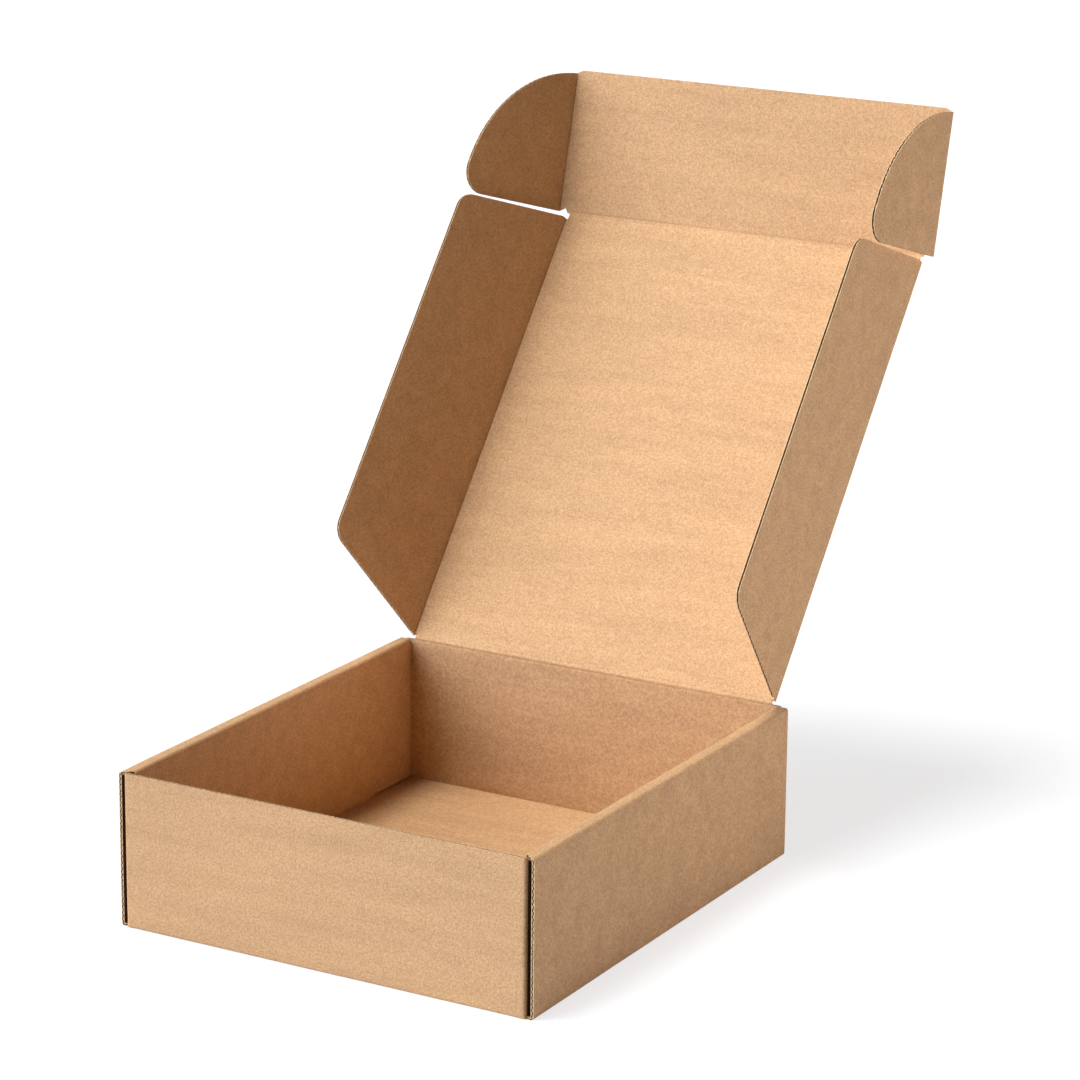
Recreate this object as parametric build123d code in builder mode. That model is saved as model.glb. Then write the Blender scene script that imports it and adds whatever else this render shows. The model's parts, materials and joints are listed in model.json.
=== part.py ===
from build123d import *

import os
from math import cos, radians, sin

# Presentation box die-cut and folded from one sheet of kraft corrugated board.
# Millimetres. Origin at the middle of the underside, X to the right, Y to the back, Z up.

# Board: two flat liners on a fluted paper
board = 1.7
liner = 0.3
medium = 0.25
flute_pitch = 3.33
flute_opening = 1.5
glue_gap = 0.05

# Clearances between layers that touch in the real box
layer_gap = 0.2
crease_gap = 0.1
side_crease_gap = 0.25
lid_clearance = 0.4

# Tray
tray_depth = 280.4
inner_width = 236.4
wall_height = 86.0
ear_slot = 2.4
corner_flap_length = 70.0
crease_radius = 1.4
roll_setback = 1.6
roll_mitre = 5.4
inner_rise = 1.0
tab_length = 45.0
tab_spacing = 155.6

# Lid and its flaps
lid_length = 281.1
lid_lean = 38.75
dust_flap_depth = 80.0
dust_flap_start = 1.0
dust_flap_taper = 27.0
dust_flap_corner = 12.0
front_flap_height = 85.9
front_flap_angle = 24.5
front_flap_relief = 4.0
ear_reach = 76.5
ear_flat = 1.5
ear_drop = 3.0
ear_corner = 14.0
ear_notch = 0.2

# How far each side flap is folded up from flat
left_dust_angle = 70.0
right_dust_angle = 92.0
left_ear_angle = 71.0
right_ear_angle = 94.0

# Faces of the rolled side walls, from the middle plane outwards
inner_face = inner_width / 2
inner_back = inner_face + board
corner_face = inner_back + layer_gap
front_half = corner_face + board
outer_back = front_half + ear_slot
outer_face = outer_back + board
half_depth = tray_depth / 2
roll_half = half_depth - roll_setback
inner_half = half_depth - board - layer_gap

# Fold lines of the lid and the side flaps, in the middle of the board
round_radius = board / 2
fold_step = board + crease_gap
side_step = board + side_crease_gap
dust_fold_x = inner_face - lid_clearance - round_radius
ear_fold_x = (front_half + outer_back) / 2
hinge_y = half_depth - round_radius
hinge_z = wall_height + crease_gap + round_radius
lid_half = dust_fold_x - side_step
front_flap_half = ear_fold_x - side_step
dust_flap_end = hinge_y + half_depth - board - lid_clearance
ear_low = front_flap_relief + ear_notch
ear_high = front_flap_height - ear_notch

# The medium's zigzag between the liners, which a cut edge lays open
core_half = board / 2 - liner
crest = core_half - medium / 2 - glue_gap


def leaf_plane(base, distance, turn):
    """The plane of a panel folded inwards by turn, at a distance along the base panel."""
    along = base.y_dir * cos(radians(turn)) + base.z_dir * sin(radians(turn))
    origin = base.origin + base.y_dir * distance
    return Plane(origin=origin, x_dir=base.x_dir, z_dir=base.x_dir.cross(along))


def flap_plane(base, side, distance, turn):
    """The plane of a side flap: its x runs away from the fold, its y along the fold."""
    outwards = base.x_dir * side * cos(radians(turn)) + base.z_dir * sin(radians(turn))
    origin = base.origin + base.x_dir * side * distance
    return Plane(origin=origin, x_dir=outwards, z_dir=outwards.cross(base.y_dir))


def add_half_round(plane, start, end):
    """A half-round edge of the board, where it turns on its crease."""
    first = plane.from_local_coords(start)
    span = plane.from_local_coords(end) - first
    with Locations(Plane(origin=first + span * 0.5, z_dir=span)):
        Cylinder(round_radius, span.length)


def open_flutes(plane, width):
    """The hollow core of a cut edge around its medium: x along the edge, y through the board."""
    last = int(width / flute_pitch) + 1
    bends = [(i * flute_pitch / 2, crest if i % 2 else -crest) for i in range(-last, last + 1)]
    upper = [(x, y + medium / 2) for x, y in bends]
    lower = [(x, y - medium / 2) for x, y in reversed(bends)]
    with BuildSketch(plane) as core:
        Rectangle(width, 2 * core_half)
        with BuildLine():
            Polyline(*upper, *lower, close=True)
        make_face(mode=Mode.SUBTRACT)
    return core.sketch


def dust_flap_outline(plane, inset):
    """A dust flap's outline, or its uncut inside when inset."""
    with BuildSketch(plane) as outline:
        Polygon(
            (-inset, dust_flap_start + inset),
            (dust_flap_depth - inset, dust_flap_start + dust_flap_taper + inset),
            (dust_flap_depth - inset, dust_flap_end - dust_flap_taper - inset),
            (-inset, dust_flap_end - inset),
            align=None,
        )
        fillet(outline.vertices().group_by(Axis.X)[-1], dust_flap_corner - inset)
    return outline.sketch


def ear_outline(plane, inset):
    """An ear's outline, or its uncut inside when inset."""
    reach = ear_reach - inset
    low, high = ear_low + inset, ear_high - inset
    arc = high - low - ear_drop - ear_flat - ear_corner + inset
    with BuildSketch(plane) as outline:
        Polygon((-inset, low), (reach, low + ear_drop), (reach, high), (-inset, high), align=None)
        lower_tip, upper_tip = outline.vertices().group_by(Axis.X)[-1].sort_by(Axis.Y)
        fillet(upper_tip, arc)
        fillet(outline.vertices().sort_by_distance((reach, low + ear_drop))[0], ear_corner - inset)
    return outline.sketch


def edge_flutes(plane, outline, width, low, high):
    """The flutes that run along y, opened only near the cut edges of an outline."""
    start = plane.from_local_coords((width / 2, low, 0))
    with BuildPart() as flutes:
        ends = open_flutes(Plane(origin=start, x_dir=plane.x_dir, z_dir=plane.y_dir), width)
        extrude(ends, amount=high - low)
        extrude(outline(plane, flute_opening), amount=board, both=True, mode=Mode.SUBTRACT)
    return flutes.part


os.makedirs("parts", exist_ok=True)

# Tray: each side wall rolls up the outside, across the top and down the inside
with BuildPart() as tray:
    with BuildSketch(Plane.XZ) as roll:
        with Locations(((inner_face + outer_face) / 2, wall_height / 2)):
            Rectangle(outer_face - inner_face, wall_height)
        across = roll.vertices().sort_by(Axis.X)
        fillet(across[2:] + across[:2].sort_by(Axis.Y)[1:], crease_radius)
        with Locations(((inner_back + outer_back) / 2, wall_height / 2)):
            Rectangle(outer_back - inner_back, wall_height - 2 * board, mode=Mode.SUBTRACT)
        with Locations((inner_face + board / 2, board + inner_rise / 2)):
            Rectangle(board, inner_rise, mode=Mode.SUBTRACT)
        mirror(about=Plane.YZ)
    extrude(amount=roll_half, both=True)

    # The roll is mitred at the front, and its inner wall stops short of the back wall
    with BuildSketch(Plane.XY.offset(board)):
        with BuildLine():
            Polyline(
                (outer_back, -roll_half - board),
                (outer_back, -roll_half),
                (inner_face, -roll_half + roll_mitre),
                (inner_face - board, -roll_half + roll_mitre),
                (inner_face - board, -roll_half - board),
                close=True,
            )
        make_face()
        with Locations(((inner_face + outer_back) / 2, inner_half + board)):
            Rectangle(outer_back - inner_face, 2 * board)
        mirror(about=Plane.YZ)
    extrude(amount=wall_height, mode=Mode.SUBTRACT)

    # Bottom, front wall and back wall in one channel, the back wall rounded at the lid's crease
    with BuildSketch(Plane.YZ) as channel:
        with Locations((0, wall_height / 2)):
            Rectangle(tray_depth, wall_height)
        with Locations((0, wall_height / 2 + board)):
            Rectangle(tray_depth - 2 * board, wall_height, mode=Mode.SUBTRACT)
        fillet(channel.vertices().group_by(Axis.Y)[0], crease_radius)
        with Locations((hinge_y, wall_height - round_radius / 2)):
            Rectangle(board, round_radius, mode=Mode.SUBTRACT)
        with Locations((hinge_y, wall_height - round_radius)):
            Circle(round_radius)
    extrude(amount=front_half - crease_radius, both=True)

    # Upright folds at the ends of the front and back walls, with the corner flaps behind them
    for end, end_height in ((-1, wall_height), (1, wall_height - round_radius)):
        with BuildSketch(Plane.XY.offset(crease_radius)) as end_wall:
            with Locations((0, end * (half_depth - board / 2))):
                Rectangle(2 * front_half, board)
            outwards = Axis((0, 0, 0), (0, end, 0))
            fillet(end_wall.vertices().group_by(outwards)[-1], crease_radius)
        extrude(amount=end_height - crease_radius)
        with BuildSketch(Plane.XY.offset(board + layer_gap)):
            flap_middle = end * (half_depth - board - corner_flap_length / 2)
            with Locations((-corner_face - board / 2, flap_middle), (corner_face + board / 2, flap_middle)):
                Rectangle(board, corner_flap_length)
        extrude(amount=wall_height - 2 * (board + layer_gap))

    # Tabs of the inner walls, seated in slots in the bottom
    tab_places = [
        (side * (inner_face + board / 2), end * tab_spacing / 2) for side in (-1, 1) for end in (-1, 1)
    ]
    with BuildSketch(Plane.XY):
        with Locations(*tab_places):
            Rectangle(board + 2 * layer_gap, tab_length + 2 * layer_gap)
    extrude(amount=board, mode=Mode.SUBTRACT)
    with BuildSketch(Plane.XY.offset(layer_gap)):
        with Locations(*tab_places):
            Rectangle(board, tab_length)
    extrude(amount=2 * board)

    # Flutes open in the raw top edge of the front wall and in the side walls' front edges
    front_edge = Plane((0, -half_depth + board / 2, wall_height), x_dir=(1, 0, 0), z_dir=(0, 0, 1))
    extrude(open_flutes(front_edge, 2 * front_half - board), amount=-flute_opening, mode=Mode.SUBTRACT)
    for side in (-1, 1):
        end_middle = (side * (outer_back + board / 2), -roll_half, wall_height / 2)
        side_edge = Plane(end_middle, x_dir=(0, 0, 1), z_dir=(0, -1, 0))
        extrude(open_flutes(side_edge, wall_height - 2 * board), amount=-flute_opening, mode=Mode.SUBTRACT)

tray.part.label = "tray"
export_step(tray.part, "parts/tray.step")

# Lid panel, leaning back past upright on its crease
back_plane = Plane((0, hinge_y, hinge_z), x_dir=(1, 0, 0), z_dir=(0, 0, 1))
lid_plane = leaf_plane(back_plane, 0, 90 - lid_lean)
lid_end = lid_length - fold_step
with BuildPart() as lid_panel:
    with BuildSketch(lid_plane):
        with Locations((0, lid_end / 2)):
            Rectangle(2 * lid_half, lid_end)
    extrude(amount=board / 2, both=True)
    add_half_round(lid_plane, (-lid_half, 0, 0), (lid_half, 0, 0))
    add_half_round(lid_plane, (-lid_half, lid_end, 0), (lid_half, lid_end, 0))
    add_half_round(lid_plane, (-lid_half, 0, 0), (-lid_half, lid_end, 0))
    add_half_round(lid_plane, (lid_half, 0, 0), (lid_half, lid_end, 0))

lid_panel.part.label = "lid_panel"
export_step(lid_panel.part, "parts/lid_panel.step")

# Front flap, wider than the lid above a small relief at each end of its crease
front_plane = leaf_plane(lid_plane, lid_length, front_flap_angle)
with BuildPart() as front_flap:
    with BuildSketch(front_plane):
        with BuildLine():
            Polyline(
                (-dust_fold_x, 0),
                (dust_fold_x, 0),
                (front_flap_half, front_flap_relief),
                (front_flap_half, front_flap_height),
                (-front_flap_half, front_flap_height),
                (-front_flap_half, front_flap_relief),
                close=True,
            )
        make_face()
    extrude(amount=board / 2, both=True)
    add_half_round(front_plane, (-dust_fold_x, 0, 0), (dust_fold_x, 0, 0))
    for edge_x in (-front_flap_half, front_flap_half):
        add_half_round(front_plane, (edge_x, front_flap_relief, 0), (edge_x, front_flap_height, 0))

    top_middle = front_plane.from_local_coords((0, front_flap_height, 0))
    top_edge = Plane(top_middle, x_dir=front_plane.x_dir, z_dir=front_plane.y_dir)
    extrude(open_flutes(top_edge, 2 * front_flap_half), amount=-flute_opening, mode=Mode.SUBTRACT)

front_flap.part.label = "front_flap"
export_step(front_flap.part, "parts/front_flap.step")

# Dust flaps, tapered at both ends so that they drop inside the tray
for name, side, angle in (("left_dust_flap", -1, left_dust_angle), ("right_dust_flap", 1, right_dust_angle)):
    plane = flap_plane(lid_plane, side, dust_fold_x, angle)
    with BuildPart() as dust_flap:
        extrude(dust_flap_outline(plane, 0), amount=board / 2, both=True)
        add(
            edge_flutes(plane, dust_flap_outline, dust_flap_depth, dust_flap_start, dust_flap_end),
            mode=Mode.SUBTRACT,
        )
        add_half_round(plane, (0, dust_flap_start, 0), (0, dust_flap_end, 0))
    dust_flap.part.label = name
    export_step(dust_flap.part, f"parts/{name}.step")

# Ears at the ends of the front flap, rounded so that they slide into the slots of the tray
for name, side, angle in (("left_ear", -1, left_ear_angle), ("right_ear", 1, right_ear_angle)):
    plane = flap_plane(front_plane, side, ear_fold_x, angle)
    with BuildPart() as ear:
        extrude(ear_outline(plane, 0), amount=board / 2, both=True)
        add(edge_flutes(plane, ear_outline, ear_reach, ear_low, ear_high), mode=Mode.SUBTRACT)
        add_half_round(plane, (0, ear_low, 0), (0, ear_high, 0))
    ear.part.label = name
    export_step(ear.part, f"parts/{name}.step")
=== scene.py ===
import json
from math import acos, atan2, cos, exp, pi, radians, sin, sqrt, tan

import bmesh
import bpy
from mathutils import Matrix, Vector, noise


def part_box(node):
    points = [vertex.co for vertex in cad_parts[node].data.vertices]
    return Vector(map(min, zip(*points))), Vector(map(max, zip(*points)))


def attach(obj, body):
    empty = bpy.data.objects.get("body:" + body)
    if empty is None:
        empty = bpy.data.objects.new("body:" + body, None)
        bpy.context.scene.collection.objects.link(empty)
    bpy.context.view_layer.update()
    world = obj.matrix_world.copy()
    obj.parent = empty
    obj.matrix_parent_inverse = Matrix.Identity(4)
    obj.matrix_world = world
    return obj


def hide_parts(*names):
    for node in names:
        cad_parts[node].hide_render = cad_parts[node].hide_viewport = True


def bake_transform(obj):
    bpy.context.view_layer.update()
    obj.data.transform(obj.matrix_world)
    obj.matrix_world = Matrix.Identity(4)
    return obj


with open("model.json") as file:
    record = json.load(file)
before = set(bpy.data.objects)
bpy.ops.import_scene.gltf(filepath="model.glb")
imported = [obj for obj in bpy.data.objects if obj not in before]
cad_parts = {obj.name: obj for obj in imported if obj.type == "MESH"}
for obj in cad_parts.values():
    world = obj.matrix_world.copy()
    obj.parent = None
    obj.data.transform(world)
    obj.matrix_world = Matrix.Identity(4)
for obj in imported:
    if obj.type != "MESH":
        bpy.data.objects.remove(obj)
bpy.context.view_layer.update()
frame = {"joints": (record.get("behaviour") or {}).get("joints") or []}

bl_info = {
    "name": "Presentation Box",
    "version": (1, 0, 0),
    "blender": (4, 5, 0),
    "location": "View3D > Sidebar > Box",
    "description": "A presentation box folded from one sheet of kraft corrugated board",
    "category": "Add Mesh",
}

MM = 0.001
JOINTS = {joint["name"]: joint for joint in frame["joints"]}
ACROSS, UPRIGHT, FORWARDS = Vector((1, 0, 0)), Vector((0, 0, 1)), Vector((0, -1, 0))
# Material slots: the liner; the fluted medium, whose dark brown also stands as painted shade on
# liner faces inside the ear slots; the cut edges
LINER, MEDIUM_AND_SLOT_SHADE, CUT = 0, 1, 2

# How finely the papers are meshed: millimetres, steps, angles and shares of a board's width
GRID = 6.0
CREASE_STEP = 0.25
ARC_STEPS = 14
FOLD_STEPS = 8
FLUTE_STEPS = 8
EAR_ARC_STEP = radians(4)
CORNER_ROW = 0.07
WALL_ROW = 0.02
SHARP_ANGLE = radians(35)
OUTLINE_MERGE = 1e-4

# A face whose normal tilts up by less than this is a cut edge
EDGE_TILT = 0.3

# Places along and across the creases, in millimetres
WAVE_LENGTH = 42.0
WAVE_SEED = 5
CREASE_REACH = 4.0
SIDE_REACH = 4.2
FLAP_REACH = 3.5
GROOVE_WIDTH = 0.7
LID_EDGE = 115.3
CORNER_END = 1.5
BOTTOM_LIFT = 0.4
EAR_TIP_ANGLE = radians(15)
DUST_FRONT_GAP = 0.8
CREASE_FRONT_GAP = 2.1

# What scoring presses into a fold: the place of each groove across the fold, and its depth.
# A single score also raises a low ridge beside its groove.
DOUBLE_SCORE = ((-1.15, 0.2), (1.15, 0.24))
SINGLE_SCORE = ((0.0, 0.38), (-1.7, -0.1))

# Size of the kraft paper's clouds, bands, clumps and fibres in millimetres, the height of its
# relief, and how its grain is mixed and coloured
CLOUD_SIZE = 7.0
BAND_SIZE = 11.0
CLUMP_SIZE = 1.15
FIBRE_SIZE = 0.5
RELIEF_HEIGHT = 0.1
BAND_STRETCH = (0.12, 1.0, 1.0)
CLUMP_SHARE, FIBRE_SHARE = 0.7, 0.3
DARK_STOP, MIDDLE_STOP, LIGHT_STOP = 0.4, 0.5, 0.6
LINER_BUMP, MEDIUM_BUMP, CUT_BUMP = 0.35, 0.2, 0.5

# Floor, lamps and camera, in metres
WHITE = (1.0, 1.0, 1.0, 1.0)
FLOOR_GREY = (0.55, 0.55, 0.55, 1.0)
FLOOR_GLOW = 1.1
FLOOR_HALF = 12
WARM_FILL = (1.0, 0.82, 0.6, 1.0)
SUN_PLACE = (0, 0, 2)
KEY_DIRECTION, KEY_SPREAD, KEY_TINT = (0.58, 0.75, -0.4), radians(55), (1.0, 1.07, 1.28)
TOP_DIRECTION, TOP_SPREAD = (0.25, 0.1, -1.0), radians(20)
SIDE_DIRECTION, SIDE_PLACE = (-1.0, -0.05, 0.05), (0.8, 0.2, 0.11)
SIDE_SIZE, SIDE_TINT = 0.35, (1.0, 0.95, 1.06)
CAMERA_PLACE = (1.07114, -1.77526, 0.79112)
CAMERA_TURN = (radians(74.017), radians(-0.4706), radians(30.1059))
CLIP_END = 30

# Sockets of a Mix node that blends two colours
MIX_FIRST, MIX_SECOND, MIX_RESULT = 6, 7, 2

# Outside of the tray, from the frame
OUTER_HALF, HALF_DEPTH, WALL_HEIGHT = [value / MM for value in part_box("tray")[1]]


def joint_place(name):
    """A joint's place in millimetres and its axis."""
    joint = JOINTS[name]
    return Vector(joint["pos_m"]) / MM, Vector(joint["axis"])


HINGE = joint_place("lid_hinge")[0]
FRONT_FOLD = joint_place("front_flap_fold")[0]
DUST_FOLD = joint_place("right_dust_flap_fold")[0].x
EAR_FOLD = joint_place("right_ear_fold")[0].x
LID_ALONG = -joint_place("right_dust_flap_fold")[1].normalized()
FLAP_ALONG = -joint_place("right_ear_fold")[1].normalized()
LID_LENGTH = (FRONT_FOLD - HINGE).length
LID_LEAN = atan2(LID_ALONG.y, LID_ALONG.z)
FRONT_TURN = LID_LEAN - atan2(FLAP_ALONG.y, FLAP_ALONG.z)


class BoardSettings(bpy.types.PropertyGroup):
    """The corrugated board, in millimetres."""

    thickness: bpy.props.FloatProperty(
        name="Board", description="Thickness of the corrugated board", default=1.7
    )
    liner: bpy.props.FloatProperty(
        name="Liner", description="Thickness of each outer paper", default=0.3
    )
    medium: bpy.props.FloatProperty(
        name="Medium", description="Thickness of the fluted paper", default=0.26
    )
    pitch: bpy.props.FloatProperty(
        name="Flute pitch", description="From one flute to the next", default=3.33
    )
    fold_radius: bpy.props.FloatProperty(
        name="Fold radius", description="Radius of a fold at the middle of the board", default=0.95
    )
    waviness: bpy.props.FloatProperty(
        name="Waviness", description="How far the board strays from flat", default=0.12
    )
    layer_gap: bpy.props.FloatProperty(
        name="Layer gap", description="Between layers of board that touch", default=0.2
    )
    ear_slot: bpy.props.FloatProperty(
        name="Ear slot", description="Between a corner flap and the outer side wall", default=2.4
    )


class FlapSettings(bpy.types.PropertyGroup):
    """The flaps, in millimetres, and how far they are folded at rest."""

    corner_flap: bpy.props.FloatProperty(
        name="Corner flap", description="Length of a corner flap", default=70.0
    )
    roll_setback: bpy.props.FloatProperty(
        name="Roll setback", description="From the front of the tray to the side walls", default=1.6
    )
    roll_mitre: bpy.props.FloatProperty(
        name="Roll mitre", description="How far the inner side walls stop behind the front",
        default=5.4,
    )
    inner_rise: bpy.props.FloatProperty(
        name="Inner rise", description="Between the inner side wall and the bottom", default=1.0
    )
    tab_length: bpy.props.FloatProperty(
        name="Tab length", description="Length of a tab of the inner side walls", default=45.0
    )
    tab_spacing: bpy.props.FloatProperty(
        name="Tab spacing", description="Between the middles of two tabs", default=155.6
    )
    dust_depth: bpy.props.FloatProperty(
        name="Dust flap depth", description="From the fold to the free edge", default=80.0
    )
    dust_start: bpy.props.FloatProperty(
        name="Dust flap start", description="From the hinge to the flap, along its fold",
        default=1.0,
    )
    dust_taper: bpy.props.FloatProperty(
        name="Dust flap taper", description="How far the end at the hinge slopes", default=27.0
    )
    dust_front_taper: bpy.props.FloatProperty(
        name="Dust flap front taper", description="How far the end at the front slopes",
        default=28.3,
    )
    dust_corner: bpy.props.FloatProperty(
        name="Dust flap corner", description="Radius of the free corners", default=12.0
    )
    front_height: bpy.props.FloatProperty(
        name="Front flap", description="Height of the front flap", default=85.9
    )
    ear_start: bpy.props.FloatProperty(
        name="Ear start", description="From the front fold to an ear, along its fold", default=0.9
    )
    ear_slope: bpy.props.FloatProperty(
        name="Ear slope", description="Rise of an ear's lower edge over its run", default=0.047
    )
    ear_arc: bpy.props.FloatProperty(
        name="Ear arc", description="Radius of an ear's long arc", default=82.4
    )
    ear_foot: bpy.props.FloatProperty(
        name="Ear foot", description="Height of the arc's middle over the front fold", default=1.6
    )
    ear_setback: bpy.props.FloatProperty(
        name="Ear setback", description="From the arc's middle to the ear's fold", default=3.75
    )
    ear_corner: bpy.props.FloatProperty(
        name="Ear corner", description="Radius of an ear's lower corner", default=14.0
    )
    left_dust_fold: bpy.props.FloatProperty(
        name="Left dust flap", description="Fold at rest", default=radians(70), subtype="ANGLE"
    )
    right_dust_fold: bpy.props.FloatProperty(
        name="Right dust flap", description="Fold at rest", default=radians(92), subtype="ANGLE"
    )
    left_ear_fold: bpy.props.FloatProperty(
        name="Left ear", description="Fold at rest", default=radians(71), subtype="ANGLE"
    )
    right_ear_fold: bpy.props.FloatProperty(
        name="Right ear", description="Fold at rest", default=radians(94), subtype="ANGLE"
    )


class FinishSettings(bpy.types.PropertyGroup):
    """The colours of the papers, sRGB hex."""

    kraft: bpy.props.StringProperty(
        name="Kraft", description="Middle colour of the kraft liner", default="CAA072"
    )
    fibre_light: bpy.props.StringProperty(
        name="Light fibres", description="Colour of the pale fibres", default="D7B083"
    )
    fibre_dark: bpy.props.StringProperty(
        name="Dark fibres", description="Colour of the dark fibres", default="BA8E61"
    )
    # The fluted paper's dark colours also paint the shade on the liner faces inside the ear slots
    flute: bpy.props.StringProperty(
        name="Fluted paper", description="Middle colour of the fluted medium", default="5E3D22"
    )
    flute_light: bpy.props.StringProperty(
        name="Light flutes", description="Colour of its pale fibres", default="704A2B"
    )
    flute_dark: bpy.props.StringProperty(
        name="Dark flutes", description="Colour of its dark fibres", default="4E321B"
    )
    cut: bpy.props.StringProperty(
        name="Cut fibres", description="Middle colour of a cut edge", default="E8C393"
    )
    cut_light: bpy.props.StringProperty(
        name="Light cut", description="Colour of its pale fibres", default="F2D3A8"
    )
    cut_dark: bpy.props.StringProperty(
        name="Dark cut", description="Colour of its dark fibres", default="D2A877"
    )


class StageSettings(bpy.types.PropertyGroup):
    """The camera and the light."""

    lens: bpy.props.FloatProperty(
        name="Lens", description="Focal length on a 36 mm sensor, in millimetres", default=135.88
    )
    key: bpy.props.FloatProperty(
        name="Key light", description="Strength of the soft light from the front left", default=3.25
    )
    top: bpy.props.FloatProperty(
        name="Top light", description="Strength of the light overhead", default=2.3
    )
    side: bpy.props.FloatProperty(
        name="Side light", description="Power of the lamp on the right", default=2.9, unit="POWER"
    )
    fill: bpy.props.FloatProperty(
        name="Fill", description="Strength of the even light from all round", default=0.03
    )
    shade: bpy.props.FloatProperty(
        name="Shade", description="How much of the shadow the white floor shows", default=0.33
    )


def linear(hex_colour):
    """An sRGB hex colour as linear red, green, blue and alpha."""
    channels = [int(hex_colour[i:i + 2], 16) / 255 for i in (0, 2, 4)]
    return [c / 12.92 if c <= 0.04045 else ((c + 0.055) / 1.055) ** 2.4 for c in channels] + [1.0]


def node(tree, kind, settings=None, links=None):
    """Adds a shader node with its settings and the sockets that feed it."""
    made = tree.nodes.new(kind)
    for key, value in (settings or {}).items():
        if isinstance(key, str) and hasattr(made, key):
            setattr(made, key, value)
        else:
            made.inputs[key].default_value = value
    for key, source in (links or {}).items():
        tree.links.new(source, made.inputs[key])
    return made


def new_material(name):
    """A material with an empty node tree and its output."""
    material = bpy.data.materials.new(name)
    material.use_nodes = True
    material.node_tree.nodes.clear()
    output = material.node_tree.nodes.new("ShaderNodeOutputMaterial")
    return material, material.node_tree, output


def per_mm(size):
    """The scale of a texture whose features are size millimetres across."""
    return 1 / (size * MM)


def kraft_paper(name, middle, light, dark, bump):
    """Unbleached kraft paper: brown fibres pressed on a machine, matt, with a clouded formation."""
    material, tree, output = new_material(name)
    place = node(tree, "ShaderNodeTexCoord").outputs["Object"]
    # Clouds of pulp, and faint bands that the paper machine leaves across the web
    cloud = node(
        tree, "ShaderNodeTexNoise", {"Scale": per_mm(CLOUD_SIZE), "Detail": 3.0}, {"Vector": place}
    )
    stretched = node(tree, "ShaderNodeMapping", {"Scale": BAND_STRETCH}, {"Vector": place})
    band = node(
        tree, "ShaderNodeTexNoise", {"Scale": per_mm(BAND_SIZE), "Detail": 4.0, "Roughness": 0.6},
        {"Vector": stretched.outputs["Vector"]},
    )
    # Fibre clumps a little over a millimetre long, which give the grain seen from a step away
    clump = node(
        tree, "ShaderNodeTexNoise", {"Scale": per_mm(CLUMP_SIZE), "Detail": 4.0, "Roughness": 0.7},
        {"Vector": place},
    )
    fibre = node(
        tree, "ShaderNodeTexNoise", {"Scale": per_mm(FIBRE_SIZE), "Detail": 2.0}, {"Vector": place}
    )
    fibre_share = node(
        tree, "ShaderNodeMath", {"operation": "MULTIPLY", 1: FIBRE_SHARE}, {0: fibre.outputs["Fac"]}
    )
    grain = node(
        tree, "ShaderNodeMath", {"operation": "MULTIPLY_ADD", 1: CLUMP_SHARE},
        {0: clump.outputs["Fac"], 2: fibre_share.outputs[0]},
    )
    ramp = node(tree, "ShaderNodeValToRGB", links={"Fac": grain.outputs[0]})
    stops = ramp.color_ramp.elements
    for stop, position, shade in ((stops[0], DARK_STOP, dark), (stops[1], LIGHT_STOP, light)):
        stop.position = position
        stop.color = linear(shade)
    stops.new(MIDDLE_STOP).color = linear(middle)
    cloud_tone = node(
        tree, "ShaderNodeMapRange",
        {"From Min": 0.3, "From Max": 0.7, "To Min": 0.97, "To Max": 1.03},
        {"Value": cloud.outputs["Fac"]},
    )
    band_tone = node(
        tree, "ShaderNodeMapRange",
        {"From Min": 0.3, "From Max": 0.7, "To Min": 0.92, "To Max": 1.06},
        {"Value": band.outputs["Fac"]},
    )
    tone = node(
        tree, "ShaderNodeMath", {"operation": "MULTIPLY"},
        {0: cloud_tone.outputs["Result"], 1: band_tone.outputs["Result"]},
    )
    colour = node(
        tree, "ShaderNodeVectorMath", {"operation": "SCALE"},
        {0: ramp.outputs["Color"], "Scale": tone.outputs[0]},
    )
    relief = node(
        tree, "ShaderNodeBump", {"Strength": bump, "Distance": RELIEF_HEIGHT * MM},
        {"Height": grain.outputs[0]},
    )
    shader = node(
        tree, "ShaderNodeBsdfPrincipled", {"Roughness": 0.85, "Specular IOR Level": 0.25},
        {"Base Color": colour.outputs["Vector"], "Normal": relief.outputs["Normal"]},
    )
    tree.links.new(shader.outputs["BSDF"], output.inputs["Surface"])
    return material


def materials(context):
    """The liner, the fluted medium, which also serves as painted shade on liner faces inside the
    ear slots, and the cut edges, made once.
    """
    finish = context.scene.box_finish
    if "kraft_liner" not in bpy.data.materials:
        kraft_paper("kraft_liner", finish.kraft, finish.fibre_light, finish.fibre_dark, LINER_BUMP)
        kraft_paper(
            "fluting_medium", finish.flute, finish.flute_light, finish.flute_dark, MEDIUM_BUMP
        )
        kraft_paper("cut_fibre", finish.cut, finish.cut_light, finish.cut_dark, CUT_BUMP)
    return [bpy.data.materials[name] for name in ("kraft_liner", "fluting_medium", "cut_fibre")]


def steps(low, high, size):
    """Even places from low to high, about size apart."""
    count = max(1, round(abs(high - low) / size))
    return [low + (high - low) * i / count for i in range(count + 1)]


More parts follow.
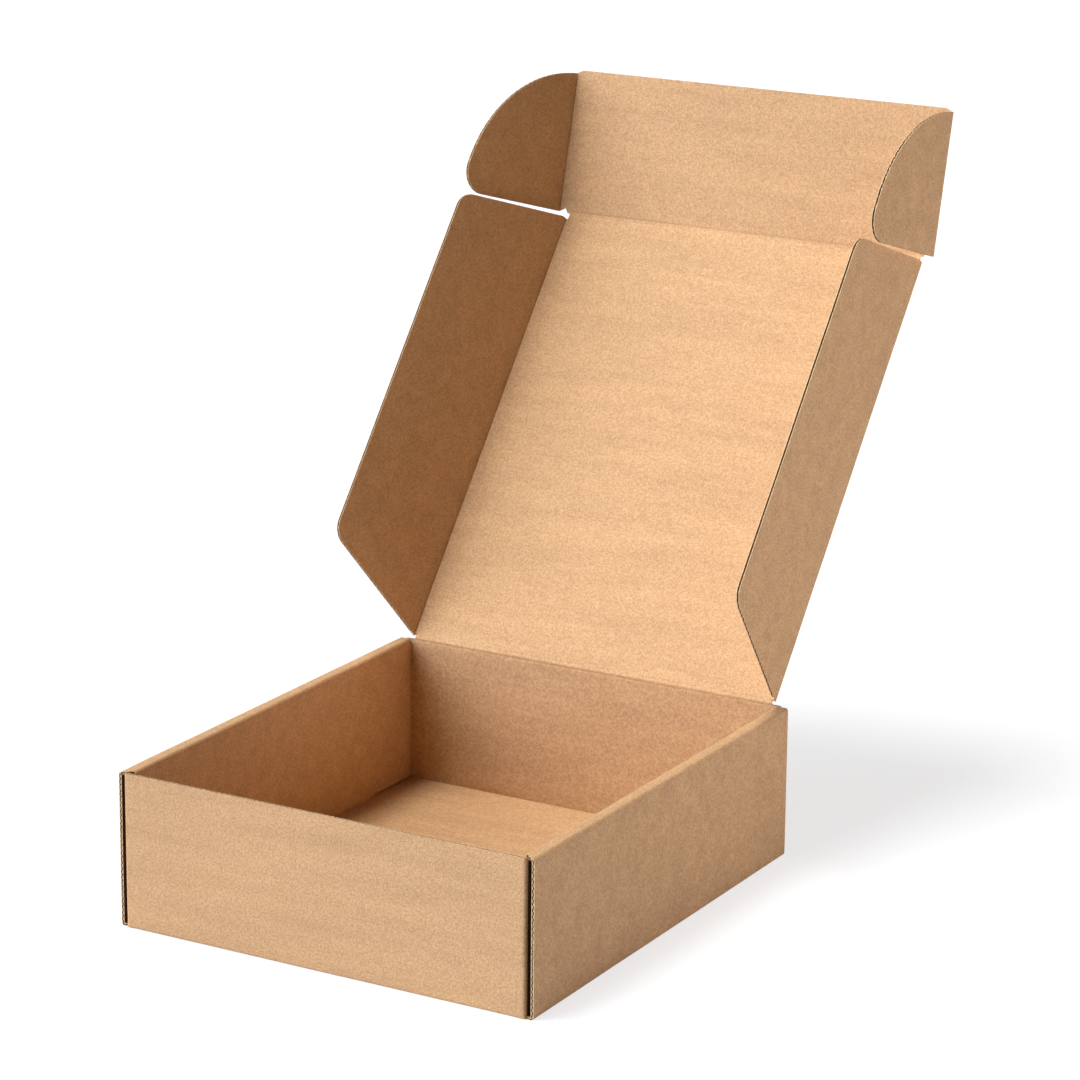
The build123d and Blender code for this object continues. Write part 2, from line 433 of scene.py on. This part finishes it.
class FoldedLine:
    """The middle line of a folded board, with a small radius at each corner."""

    def __init__(self, corners, radius):
        self.parts = []
        self.length = 0.0
        here = Vector(corners[0])
        for before, corner, after in zip(corners, corners[1:], corners[2:]):
            before, corner, after = Vector(before), Vector(corner), Vector(after)
            arriving, leaving = (corner - before).normalized(), (after - corner).normalized()
            turn = atan2(arriving.x * leaving.y - arriving.y * leaving.x, arriving.dot(leaving))
            setback = radius * tan(abs(turn) / 2)
            stop = corner - arriving * setback
            self.add(here, arriving, 0.0, (stop - here).length)
            self.add(stop, arriving, (1 if turn > 0 else -1) / radius, radius * abs(turn))
            here = corner + leaving * setback
        end = Vector(corners[-1])
        self.add(here, (end - here).normalized(), 0.0, (end - here).length)

    def add(self, start, direction, curvature, length):
        """Adds one straight or round stretch."""
        self.parts.append((self.length, start, direction, curvature))
        self.length += length

    def at(self, along):
        """The point at a length along the line, and the normal on its left."""
        place, start, direction, curvature = self.parts[0]
        for part in self.parts:
            if part[0] <= along:
                place, start, direction, curvature = part
        left = Vector((-direction.y, direction.x))
        gone = along - place
        if curvature == 0:
            return start + direction * gone, left
        turned = curvature * gone
        ahead, aside = sin(turned) / curvature, (1 - cos(turned)) / curvature
        normal = left * cos(turned) - direction * sin(turned)
        return start + direction * ahead + left * aside, normal

    def columns(self, size):
        """Lengths along the line, about size apart and closer together round each fold."""
        ends = [part[0] for part in self.parts[1:]] + [self.length]
        places = [0.0]
        for (start, _, _, curvature), end in zip(self.parts, ends):
            step = size if curvature == 0 else (end - start) / FOLD_STEPS
            places += steps(start, end, step)[1:]
        return places


def paper_sheet(columns, rows, height_at, thickness, papers, outline=None):
    """A thin paper with the given columns across x and rows along y, cut to a convex outline.
    Its upper and lower sides take the two papers."""
    sheet = bmesh.new()
    bmesh.ops.create_grid(sheet, x_segments=len(columns) - 1, y_segments=len(rows) - 1, size=1)
    for vert in sheet.verts:
        column = columns[round((vert.co.x + 1) / 2 * (len(columns) - 1))]
        row = rows[round((vert.co.y + 1) / 2 * (len(rows) - 1))]
        vert.co = (column, row, height_at(column))
    for first, second in zip(outline or [], (outline or [])[1:] + (outline or [])[:1]):
        along = Vector((second[0] - first[0], second[1] - first[1], 0))
        bmesh.ops.bisect_plane(
            sheet, geom=sheet.verts[:] + sheet.edges[:] + sheet.faces[:], dist=OUTLINE_MERGE,
            plane_co=(first[0], first[1], 0), plane_no=(along.y, -along.x, 0), clear_outer=True,
        )
    sheet.normal_update()
    for vert in sheet.verts:
        vert.co += vert.normal * thickness / 2
    bmesh.ops.solidify(sheet, geom=sheet.faces[:], thickness=thickness)
    sheet.normal_update()
    for face in sheet.faces:
        face.material_index = CUT if abs(face.normal.z) < EDGE_TILT else papers[face.normal.z < 0]
    return sheet


def board_layers(board, columns, rows, outline=None, flutes=None, back=LINER):
    """Two liners over a stretch of board, with its fluted medium where flutes gives two rows; the
    lower liner's outer face takes the back paper, which is the dark medium as painted shade where
    that face looks into an ear slot.
    """
    half = board.thickness / 2
    middle = half - board.liner / 2
    layers = [
        paper_sheet(columns, rows, lambda x: side * middle, board.liner, papers, outline)
        for side, papers in ((-1, (MEDIUM_AND_SLOT_SHADE, back)), (1, (LINER, MEDIUM_AND_SLOT_SHADE)))
    ]
    if flutes:
        swing = half - board.liner - board.medium / 2
        waves = steps(columns[0], columns[-1], board.pitch / FLUTE_STEPS)
        layers.append(paper_sheet(
            waves, flutes, lambda x: swing * sin(2 * pi * x / board.pitch), board.medium,
            (MEDIUM_AND_SLOT_SHADE, MEDIUM_AND_SLOT_SHADE), outline,
        ))
    return layers


def lifted(board, point, normal, height):
    """A point at a height over the middle of the board, which is never quite flat."""
    stray = noise.noise_vector(point / WAVE_LENGTH).dot(normal) * board.waviness
    return point + normal * (height + stray)


def panel_place(board, origin, across, along):
    """Where a flat panel's points go: across and along it from its origin."""
    normal = across.cross(along)
    return lambda x, y, height: lifted(board, origin + across * x + along * y, normal, height)


def line_place(board, line, origin, ahead, inner, sideways, span):
    """Where a folded board's points go: along its line, and sideways between its span's ends."""
    def place(along, share, height):
        point, normal = line.at(along)
        low, high = span(point)
        aside = sideways * (low + (high - low) * share)
        middle = origin + ahead * point.x + inner * point.y + aside
        return lifted(board, middle, ahead * normal.x + inner * normal.y, height)
    return place


def build(context, name, boards, body=None, nodes=()):
    """Places the papers of a piece, joins them and writes the finished piece."""
    noise.seed_set(WAVE_SEED)
    whole = bmesh.new()
    for layers, place in boards:
        for layer in layers:
            for vert in layer.verts:
                vert.co = place(*vert.co) * MM
            scratch = bpy.data.meshes.new("scratch")
            layer.to_mesh(scratch)
            layer.free()
            whole.from_mesh(scratch)
            bpy.data.meshes.remove(scratch)
    bmesh.ops.recalc_face_normals(whole, faces=whole.faces)
    for face in whole.faces:
        face.smooth = True
    data = bpy.data.meshes.new(name)
    whole.to_mesh(data)
    whole.free()
    data.set_sharp_from_angle(angle=SHARP_ANGLE)
    for material in materials(context):
        data.materials.append(material)
    piece = bpy.data.objects.new(name, data)
    context.scene.collection.objects.link(piece)
    if body:
        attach(piece, body)
        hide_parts(*nodes)
    return piece


def rounded_outline(corners):
    """A convex outline, anticlockwise: each corner is given with its radius."""
    outline = []
    for i, (corner, radius) in enumerate(corners):
        if radius == 0:
            outline.append(corner)
            continue
        before, after = corners[i - 1][0], corners[(i + 1) % len(corners)][0]
        line = FoldedLine((before, corner, after), radius)
        start, end = line.parts[1][0], line.parts[2][0]
        places = steps(start, end, (end - start) / ARC_STEPS)
        outline += [tuple(line.at(along)[0]) for along in places]
    return outline


class BOX_OT_tray(bpy.types.Operator):
    """Folds the tray: bottom, front and back, corner flaps and rolled side walls"""

    bl_idname = "box.tray"
    bl_label = "Tray"

    def execute(self, context):
        board, flaps = context.scene.box_board, context.scene.box_flaps
        thick, half, radius = board.thickness, board.thickness / 2, board.fold_radius
        wall = HALF_DEPTH - half
        outer = OUTER_HALF - half
        corner_flap = outer - thick - board.ear_slot
        inner = corner_flap - thick - board.layer_gap
        slot_inside, slot_outside = inner - half - board.layer_gap, inner + half + board.layer_gap
        roll_end = HALF_DEPTH - flaps.roll_setback
        inner_end = HALF_DEPTH - thick - board.layer_gap

        # Bottom, front wall and back wall in one strip
        back_top = HINGE.z - CREASE_REACH
        strip = FoldedLine(
            ((-wall, WALL_HEIGHT), (-wall, half), (wall, half), (wall, back_top)), radius
        )
        rows = strip.columns(GRID)
        layers = board_layers(board, steps(-slot_inside, slot_inside, GRID), rows, flutes=rows[:2])

        def place_strip(x, along, height):
            point, normal = strip.at(along)
            return lifted(
                board, Vector((x, point.x, point.y)), Vector((0, normal.x, normal.y)), height
            )

        build(context, "front_bottom_back", [(layers, place_strip)], "tray", ["tray"])

        for side, side_name in ((-1, "left"), (1, "right")):
            sideways = ACROSS * side

            # Upright folds and corner flaps
            for end, end_name in ((-1, "front"), (1, "back")):
                boards = []
                corner, bend_end = (corner_flap, -wall), (corner_flap, CORNER_END - wall)
                fold = FoldedLine(((slot_inside, -wall), corner, bend_end), radius)
                flap = FoldedLine((bend_end, (corner_flap, flaps.corner_flap - wall)), radius)
                # The corner flap's face towards the outer side wall takes the dark medium paper as
                # painted shade, which darkens the deep ear slot; the upright fold keeps the liner
                flap_low = thick + board.layer_gap
                for line, low, high, back in (
                    (fold, BOTTOM_LIFT, WALL_HEIGHT, LINER),
                    (flap, flap_low, WALL_HEIGHT - flap_low, MEDIUM_AND_SLOT_SHADE),
                ):
                    place = line_place(
                        board, line, Vector(), sideways, Vector((0, -end, 0)), UPRIGHT,
                        lambda point, low=low, high=high: (low, high),
                    )
                    boards.append((board_layers(
                        board, line.columns(GRID), steps(0, 1, CORNER_ROW), flutes=[0, 1], back=back
                    ), place))
                if end == 1:
                    place = panel_place(board, Vector((0, wall, 0)), sideways, UPRIGHT)
                    rows = [back_top, WALL_HEIGHT]
                    columns = [LID_EDGE, slot_inside]
                    boards.append((board_layers(board, columns, rows, flutes=rows), place))
                build(context, f"{side_name}_{end_name}_corner_flap", boards, "tray", ["tray"])

            # Side wall rolled up the outside, across the top and down the inside
            roll = FoldedLine((
                (inner, thick + flaps.inner_rise), (inner, WALL_HEIGHT - half),
                (outer, WALL_HEIGHT - half), (outer, half), (slot_outside, half),
            ), radius)
            mitre_width = OUTER_HALF - thick - inner + half

            def roll_span(point):
                if point.y < thick:
                    return -roll_end, roll_end
                inwards = min(max((OUTER_HALF - thick - point.x) / mitre_width, 0), 1)
                front = -roll_end + flaps.roll_mitre * inwards
                return front, inner_end if inwards > 0 else roll_end

            place = line_place(board, roll, Vector(), sideways, UPRIGHT, -FORWARDS, roll_span)
            # The roll's inner side takes the dark medium paper as painted shade: where the outer
            # wall faces the ear slot it darkens the deep slot, and elsewhere that side is hidden
            # inside the roll
            boards = [(board_layers(
                board, roll.columns(GRID), steps(0, 1, WALL_ROW), flutes=[0, 1], back=MEDIUM_AND_SLOT_SHADE
            ), place)]
            boards += side_tabs(board, flaps, sideways, inner, roll_end, slot_inside, slot_outside)
            build(context, f"{side_name}_side_wall", boards, "tray", ["tray"])
        return {"FINISHED"}


def side_tabs(board, flaps, sideways, inner, roll_end, slot_inside, slot_outside):
    """The tabs of an inner side wall, and the bottom between the slots that they sit in."""
    half = board.thickness / 2
    boards = []
    near = (flaps.tab_spacing - flaps.tab_length) / 2
    far = (flaps.tab_spacing + flaps.tab_length) / 2
    for low, high in ((-far, -near), (near, far)):
        place = panel_place(board, sideways * inner, UPRIGHT, -FORWARDS)
        rows = steps(low, high, GRID)
        boards.append((board_layers(
            board, [board.layer_gap, board.thickness + flaps.inner_rise], rows
        ), place))
    clear = board.layer_gap
    columns = [slot_inside, slot_outside]
    for low, high in (
        (-roll_end, -far - clear), (-near + clear, near - clear), (far + clear, roll_end)
    ):
        place = panel_place(board, UPRIGHT * half, sideways, -FORWARDS)
        boards.append((board_layers(board, columns, steps(low, high, GRID)), place))
    return boards


class BOX_OT_lid(bpy.types.Operator):
    """Makes the lid panel and its front flap"""

    bl_idname = "box.lid"
    bl_label = "Lid and Front Flap"

    def execute(self, context):
        board, flaps = context.scene.box_board, context.scene.box_flaps
        edge = DUST_FOLD - SIDE_REACH
        layers = board_layers(
            board, steps(-edge, edge, GRID), steps(FLAP_REACH, LID_LENGTH - CREASE_REACH, GRID)
        )
        place = panel_place(board, HINGE, ACROSS, LID_ALONG)
        build(context, "lid_board", [(layers, place)], "lid_panel", ["lid_panel"])

        edge = EAR_FOLD - SIDE_REACH
        rows = steps(FLAP_REACH, flaps.front_height, GRID)
        layers = board_layers(board, steps(-edge, edge, GRID), rows, flutes=[rows[0], rows[-1]])
        place = panel_place(board, FRONT_FOLD, ACROSS, FLAP_ALONG)
        build(context, "front_flap_board", [(layers, place)], "front_flap", ["front_flap"])
        return {"FINISHED"}


def away_from_fold(side, along, fold):
    """The direction away from its fold line on a side flap at rest."""
    return ACROSS * side * cos(fold) + ACROSS.cross(along) * sin(fold)


class BOX_OT_side_flaps(bpy.types.Operator):
    """Makes the dust flaps at the lid's sides and the ears at the front flap's ends"""

    bl_idname = "box.side_flaps"
    bl_label = "Dust Flaps and Ears"

    def execute(self, context):
        board, flaps = context.scene.box_board, context.scene.box_flaps
        for side, side_name in ((-1, "left"), (1, "right")):
            dust_low, dust_high = dust_ends(flaps)
            depth = flaps.dust_depth
            outline = rounded_outline((
                ((FLAP_REACH, dust_low(FLAP_REACH)), 0),
                ((depth, dust_low(depth)), flaps.dust_corner),
                ((depth, dust_high(depth)), flaps.dust_corner),
                ((FLAP_REACH, dust_high(FLAP_REACH)), 0),
            ))
            away = away_from_fold(side, LID_ALONG, getattr(flaps, f"{side_name}_dust_fold"))
            origin = HINGE + ACROSS * side * DUST_FOLD
            self.add(context, f"{side_name}_dust_flap", outline, origin, away, LID_ALONG)

            away = away_from_fold(side, FLAP_ALONG, getattr(flaps, f"{side_name}_ear_fold"))
            origin = FRONT_FOLD + ACROSS * side * EAR_FOLD
            self.add(context, f"{side_name}_ear", ear_outline(flaps), origin, away, FLAP_ALONG)
        return {"FINISHED"}

    def add(self, context, node_name, outline, origin, away, along):
        """Adds one flap that replaces its CAD node."""
        board = context.scene.box_board
        low, high = min(y for _, y in outline), max(y for _, y in outline)
        columns = steps(FLAP_REACH, max(x for x, _ in outline), GRID)
        layers = board_layers(board, columns, steps(low, high, GRID), outline, flutes=[low, high])
        place = panel_place(board, origin, away, along)
        build(context, f"{node_name}_board", [(layers, place)], node_name, [node_name])


def dust_ends(flaps):
    """The two slanted ends of a dust flap, as functions of the distance from its fold."""
    last = HINGE.y + HALF_DEPTH - DUST_FRONT_GAP
    return (
        lambda away: flaps.dust_start + flaps.dust_taper / flaps.dust_depth * away,
        lambda away: last - flaps.dust_front_taper / flaps.dust_depth * away,
    )


def ear_ends(flaps):
    """An ear's lower edge and the arc over it, as functions of the distance from its fold."""
    return (
        lambda away: flaps.ear_start + flaps.ear_slope * away,
        lambda away: flaps.ear_foot + sqrt(flaps.ear_arc ** 2 - (away + flaps.ear_setback) ** 2),
    )


def ear_outline(flaps):
    """An ear: a sloping lower edge, a round corner, and an arc about the foot of its fold."""
    low, _ = ear_ends(flaps)
    centre = Vector((-flaps.ear_setback, flaps.ear_foot))
    arc_end = acos((FLAP_REACH + flaps.ear_setback) / flaps.ear_arc)
    arc = [
        centre + Vector((cos(angle), sin(angle))) * flaps.ear_arc
        for angle in steps(EAR_TIP_ANGLE, arc_end, EAR_ARC_STEP)
    ]
    # Where the line that leaves the arc at its start meets the lower edge
    leaving = Vector((sin(EAR_TIP_ANGLE), -cos(EAR_TIP_ANGLE)))
    down = (arc[0].y - low(arc[0].x)) / (flaps.ear_slope * leaving.x - leaving.y)
    tip = arc[0] + leaving * down
    start = ((FLAP_REACH, low(FLAP_REACH)), 0)
    return rounded_outline(
        [start, (tuple(tip), flaps.ear_corner)] + [(tuple(point), 0) for point in arc]
    )


def crease(context, name, origin, ahead, inner, sideways, turn, before, span, grooves):
    """A strip of board between two bodies, folded to their rest angle and pressed thin by its
    score.
    """
    board = context.scene.box_board
    line = FoldedLine(
        ((-before, 0), (0, 0), (FLAP_REACH * cos(turn), FLAP_REACH * sin(turn))), board.fold_radius
    )
    middle = (line.parts[1][0] + line.parts[2][0]) / 2

    def along_fold(point):
        return span(point.x if point.x < 0 else point.length)

    smooth = line_place(board, line, origin, ahead, inner, sideways, along_fold)

    def place(along, share, height):
        pressed = sum(
            depth * exp(-((along - middle - offset) / GROOVE_WIDTH) ** 2)
            for offset, depth in grooves
        )
        return smooth(along, share, height - pressed if height > 0 else height)

    low, high = span(-before)
    columns = steps(0, line.length, CREASE_STEP)
    rows = steps(0, 1, GRID / (high - low))
    sheet = paper_sheet(columns, rows, lambda x: 0.0, board.thickness, (LINER, LINER))
    piece = build(context, name, [([sheet], place)])
    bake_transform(piece)


class BOX_OT_creases(bpy.types.Operator):
    """Makes the creases that the lid and its flaps turn on"""

    bl_idname = "box.creases"
    bl_label = "Creases"

    def execute(self, context):
        flaps = context.scene.box_flaps
        crease(
            context, "hinge_crease", HINGE, UPRIGHT, FORWARDS, ACROSS,
            -LID_LEAN, CREASE_REACH, lambda away: (-LID_EDGE, LID_EDGE), DOUBLE_SCORE,
        )
        lid_inner, flap_inner = ACROSS.cross(LID_ALONG), ACROSS.cross(FLAP_ALONG)
        flap_edge = EAR_FOLD - SIDE_REACH

        def front_span(away):
            half = DUST_FOLD + (flap_edge - DUST_FOLD) * away / FLAP_REACH
            return (-LID_EDGE, LID_EDGE) if away < 0 else (-half, half)

        crease(
            context, "front_crease", FRONT_FOLD, LID_ALONG,
            lid_inner, ACROSS, FRONT_TURN, CREASE_REACH, front_span, DOUBLE_SCORE,
        )
        dust_low, dust_high = dust_ends(flaps)
        # The crease stops short of the front wall, which it stands behind when the lid is shut
        crease_end = HINGE.y + HALF_DEPTH - CREASE_FRONT_GAP

        def dust_span(away):
            if away >= 0:
                return dust_low(away), min(dust_high(away), crease_end)
            share = min(-away / (DUST_FOLD - LID_EDGE), 1)
            return (
                dust_low(0) + (FLAP_REACH - dust_low(0)) * share,
                crease_end + (LID_LENGTH - CREASE_REACH - crease_end) * share,
            )

        ear_low, ear_high = ear_ends(flaps)

        def ear_span(away):
            if away >= 0:
                return ear_low(away), ear_high(away)
            share = min(-away / SIDE_REACH, 1)
            return (
                ear_low(0) + (FLAP_REACH - ear_low(0)) * share,
                ear_high(0) + (flaps.front_height - ear_high(0)) * share,
            )

        for side, side_name in ((-1, "left"), (1, "right")):
            sideways = ACROSS * side
            crease(
                context, f"{side_name}_dust_crease",
                HINGE + sideways * DUST_FOLD, sideways, lid_inner, LID_ALONG,
                getattr(flaps, f"{side_name}_dust_fold"), SIDE_REACH, dust_span, SINGLE_SCORE,
            )
            crease(
                context, f"{side_name}_ear_crease",
                FRONT_FOLD + sideways * EAR_FOLD, sideways, flap_inner, FLAP_ALONG,
                getattr(flaps, f"{side_name}_ear_fold"), SIDE_REACH, ear_span, SINGLE_SCORE,
            )
        return {"FINISHED"}


def white_floor(stage):
    """White paper floor: it glows for the camera, so that it is white apart from a light shadow."""
    material, tree, output = new_material("white_floor")
    paper = node(tree, "ShaderNodeBsdfDiffuse", {"Color": FLOOR_GREY})
    seen_paper = node(tree, "ShaderNodeBsdfDiffuse", {"Color": WHITE})
    glow = node(tree, "ShaderNodeEmission", {"Color": WHITE, "Strength": FLOOR_GLOW})
    seen = node(
        tree, "ShaderNodeMixShader", {"Fac": stage.shade},
        {1: glow.outputs["Emission"], 2: seen_paper.outputs["BSDF"]},
    )
    rays = node(tree, "ShaderNodeLightPath")
    both = node(
        tree, "ShaderNodeMixShader", None,
        {"Fac": rays.outputs["Is Camera Ray"], 1: paper.outputs["BSDF"], 2: seen.outputs["Shader"]},
    )
    tree.links.new(both.outputs["Shader"], output.inputs["Surface"])
    return material


class BOX_OT_stage(bpy.types.Operator):
    """Sets the floor, the light and the camera"""

    bl_idname = "box.stage"
    bl_label = "Stage"

    def execute(self, context):
        stage = context.scene.box_stage
        floor_mesh = bmesh.new()
        bmesh.ops.create_grid(floor_mesh, x_segments=1, y_segments=1, size=FLOOR_HALF)
        data = bpy.data.meshes.new("floor")
        floor_mesh.to_mesh(data)
        floor_mesh.free()
        data.materials.append(white_floor(stage))
        floor = bpy.data.objects.new("floor", data)
        context.scene.collection.objects.link(floor)

        world = bpy.data.worlds.new("studio")
        context.scene.world = world
        world.use_nodes = True
        tree = world.node_tree
        tree.nodes.clear()
        rays = node(tree, "ShaderNodeLightPath")
        seen = node(
            tree, "ShaderNodeMath", {"operation": "MAXIMUM"},
            {0: rays.outputs["Is Camera Ray"], 1: rays.outputs["Is Glossy Ray"]},
        )
        strength = node(
            tree, "ShaderNodeMapRange", {"To Min": stage.fill, "To Max": 1.0},
            {"Value": seen.outputs[0]},
        )
        tint = node(
            tree, "ShaderNodeMix", {"data_type": "RGBA", MIX_FIRST: WARM_FILL, MIX_SECOND: WHITE},
            {0: seen.outputs[0]},
        )
        background = node(
            tree, "ShaderNodeBackground", None,
            {"Color": tint.outputs[MIX_RESULT], "Strength": strength.outputs["Result"]},
        )
        output = node(tree, "ShaderNodeOutputWorld", links={"Surface": background.outputs[0]})
        output.is_active_output = True

        key = self.lamp(context, "key", "SUN", stage.key, KEY_DIRECTION)
        key.angle = KEY_SPREAD
        key.color = KEY_TINT
        top = self.lamp(context, "top", "SUN", stage.top, TOP_DIRECTION)
        top.angle = TOP_SPREAD
        side = self.lamp(context, "side", "AREA", stage.side, SIDE_DIRECTION, SIDE_PLACE)
        side.size = SIDE_SIZE
        side.color = SIDE_TINT

        camera_data = bpy.data.cameras.new("camera")
        camera_data.lens = stage.lens
        camera_data.clip_end = CLIP_END
        camera = bpy.data.objects.new("camera", camera_data)
        camera.location = CAMERA_PLACE
        camera.rotation_euler = CAMERA_TURN
        context.scene.collection.objects.link(camera)
        context.scene.camera = camera
        context.scene.view_settings.view_transform = "Standard"
        return {"FINISHED"}

    def lamp(self, context, name, kind, strength, direction, place=SUN_PLACE):
        """Adds a lamp that shines in a direction."""
        data = bpy.data.lights.new(name, kind)
        data.energy = strength
        lamp = bpy.data.objects.new(name, data)
        lamp.location = place
        lamp.rotation_euler = Vector(direction).to_track_quat("-Z", "Y").to_euler()
        context.scene.collection.objects.link(lamp)
        return data


class BOX_PT_sidebar(bpy.types.Panel):
    """Lists the steps of making the box"""

    bl_idname = "BOX_PT_sidebar"
    bl_label = "Presentation Box"
    bl_space_type = "VIEW_3D"
    bl_region_type = "UI"
    bl_category = "Box"

    def draw(self, context):
        for step in STEPS:
            self.layout.operator(step.bl_idname)


STEPS = (BOX_OT_tray, BOX_OT_lid, BOX_OT_side_flaps, BOX_OT_creases, BOX_OT_stage)
SETTINGS = {
    "box_board": BoardSettings,
    "box_flaps": FlapSettings,
    "box_finish": FinishSettings,
    "box_stage": StageSettings,
}
CLASSES = tuple(SETTINGS.values()) + STEPS + (BOX_PT_sidebar,)


def register():
    for made_class in CLASSES:
        bpy.utils.register_class(made_class)
    for name, group in SETTINGS.items():
        setattr(bpy.types.Scene, name, bpy.props.PointerProperty(type=group))


def unregister():
    for name in SETTINGS:
        delattr(bpy.types.Scene, name)
    for made_class in reversed(CLASSES):
        bpy.utils.unregister_class(made_class)


def main():
    register()
    bpy.ops.box.tray()
    bpy.ops.box.lid()
    bpy.ops.box.side_flaps()
    bpy.ops.box.creases()
    bpy.ops.box.stage()


if __name__ == "__main__":
    main()
